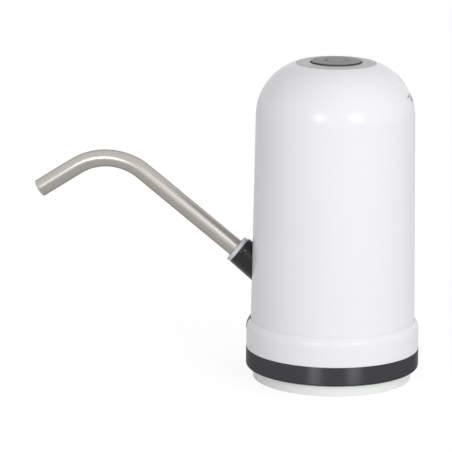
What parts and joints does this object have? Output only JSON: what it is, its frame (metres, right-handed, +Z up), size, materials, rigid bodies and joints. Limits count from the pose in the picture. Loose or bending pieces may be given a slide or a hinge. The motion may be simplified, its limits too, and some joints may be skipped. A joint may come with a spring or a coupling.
{
  "type": "electric water jug pump",
  "caption": "Battery pump that seats on a water jug's neck: domed white housing, push button on top, bent steel spout, black trim band and a gear pump inside.",
  "frame": {"origin": "middle of the flat underside of the base's web, the seat that rests on the rim of the jug's neck", "axes": "+Z up along the axis of the jug's neck, the spout points along -X, +X is the rear with the charging port, +Y completes the right-handed frame"},
  "size_m": [0.1754, 0.0788, 0.1452],
  "materials": {
    "gloss_white": "glossy moulded white plastic",
    "collar_white": "satin, slightly translucent white plastic",
    "band_black": "satin charcoal plastic",
    "socket_black": "glossy black plastic",
    "tab_grey": "satin dark grey plastic",
    "bezel_grey": "satin light grey plastic",
    "button_grey": "satin mid grey plastic",
    "silicone_grey": "satin grey silicone",
    "silicone_clear": "milky silicone",
    "rubber_black": "matte black rubber",
    "satin_steel": "satin stainless steel",
    "zinc_steel": "zinc-plated steel",
    "gear_white": "natural acetal, satin",
    "pump_black": "matte black plastic",
    "chassis_white": "matte off-white plastic",
    "board_green": "green solder mask on glass-fibre board",
    "cell_blue": "blue shrink sleeve over a metal can",
    "copper": "copper windings on steel laminations",
    "ferrite": "dark grey ferrite"
  },
  "bodies": {
    "root": {"base_housing": "gloss_white", "index_tab": "tab_grey", "trim_band": "band_black", "neck_collar": "collar_white", "neck_gasket": "silicone_clear", "body_shell": "gloss_white", "button_bezel": "bezel_grey", "switch_board": "board_green", "tact_switch": "pump_black", "charge_board": "board_green", "usb_socket": "zinc_steel", "spout_socket": "socket_black", "outlet_hose": "silicone_clear", "hose_clip": "zinc_steel", "inlet_nipple": "gloss_white", "inlet_seal": "rubber_black", "pump_cover": "pump_black", "pump_gasket": "rubber_black", "pump_body": "pump_black", "idler_pin": "zinc_steel", "shaft_seal": "rubber_black", "motor_can": "zinc_steel", "motor_magnet_1": "ferrite", "motor_magnet_2": "ferrite", "motor_end_cap": "pump_black", "chassis": "chassis_white", "battery_cell": "cell_blue", "control_board": "board_green", "case_screw_1": "zinc_steel", "case_screw_2": "zinc_steel", "case_screw_3": "zinc_steel", "pump_screw_1": "zinc_steel", "pump_screw_2": "zinc_steel", "pump_screw_3": "zinc_steel", "pump_screw_4": "zinc_steel", "switch_screw_1": "zinc_steel", "switch_screw_2": "zinc_steel"},
    "button": {"button_cap": "button_grey", "switch_plunger": "pump_black"},
    "spout_ring": {"spout_sleeve": "silicone_grey"},
    "spout": {"spout_tube": "satin_steel"},
    "motor_drive": {"motor_shaft": "zinc_steel", "motor_rotor": "copper", "drive_gear": "gear_white"},
    "idler": {"idler_gear": "gear_white"}
  },
  "joints": [
    {"name": "button_press", "type": "slide", "parent": "root", "child": "button", "axis": [0, 0, -1], "range_m": [0, 0.0006], "stiffness_N_per_m": 1500, "springref_m": -0.0003},
    {"name": "spout_swivel", "type": "hinge", "parent": "root", "child": "spout_ring", "pos_m": [-0.0368, 0, 0.0338], "axis": [-0.7815, 0, 0.6239], "continuous": true},
    {"name": "spout_pull", "type": "slide", "parent": "spout_ring", "child": "spout", "axis": [-0.7815, 0, 0.6239], "range_m": [0, 0.015]},
    {"name": "motor_spin", "type": "hinge", "parent": "root", "child": "motor_drive", "pos_m": [0.006, 0.005, 0], "axis": [0, 0, 1], "continuous": true},
    {"name": "idler_spin", "type": "hinge", "parent": "root", "child": "idler", "pos_m": [0.006, -0.005, 0], "axis": [0, 0, 1], "continuous": true}
  ],
  "couplings": [
    {"joint": "idler_spin", "follows": "motor_spin", "ratio": -1}
  ]
}
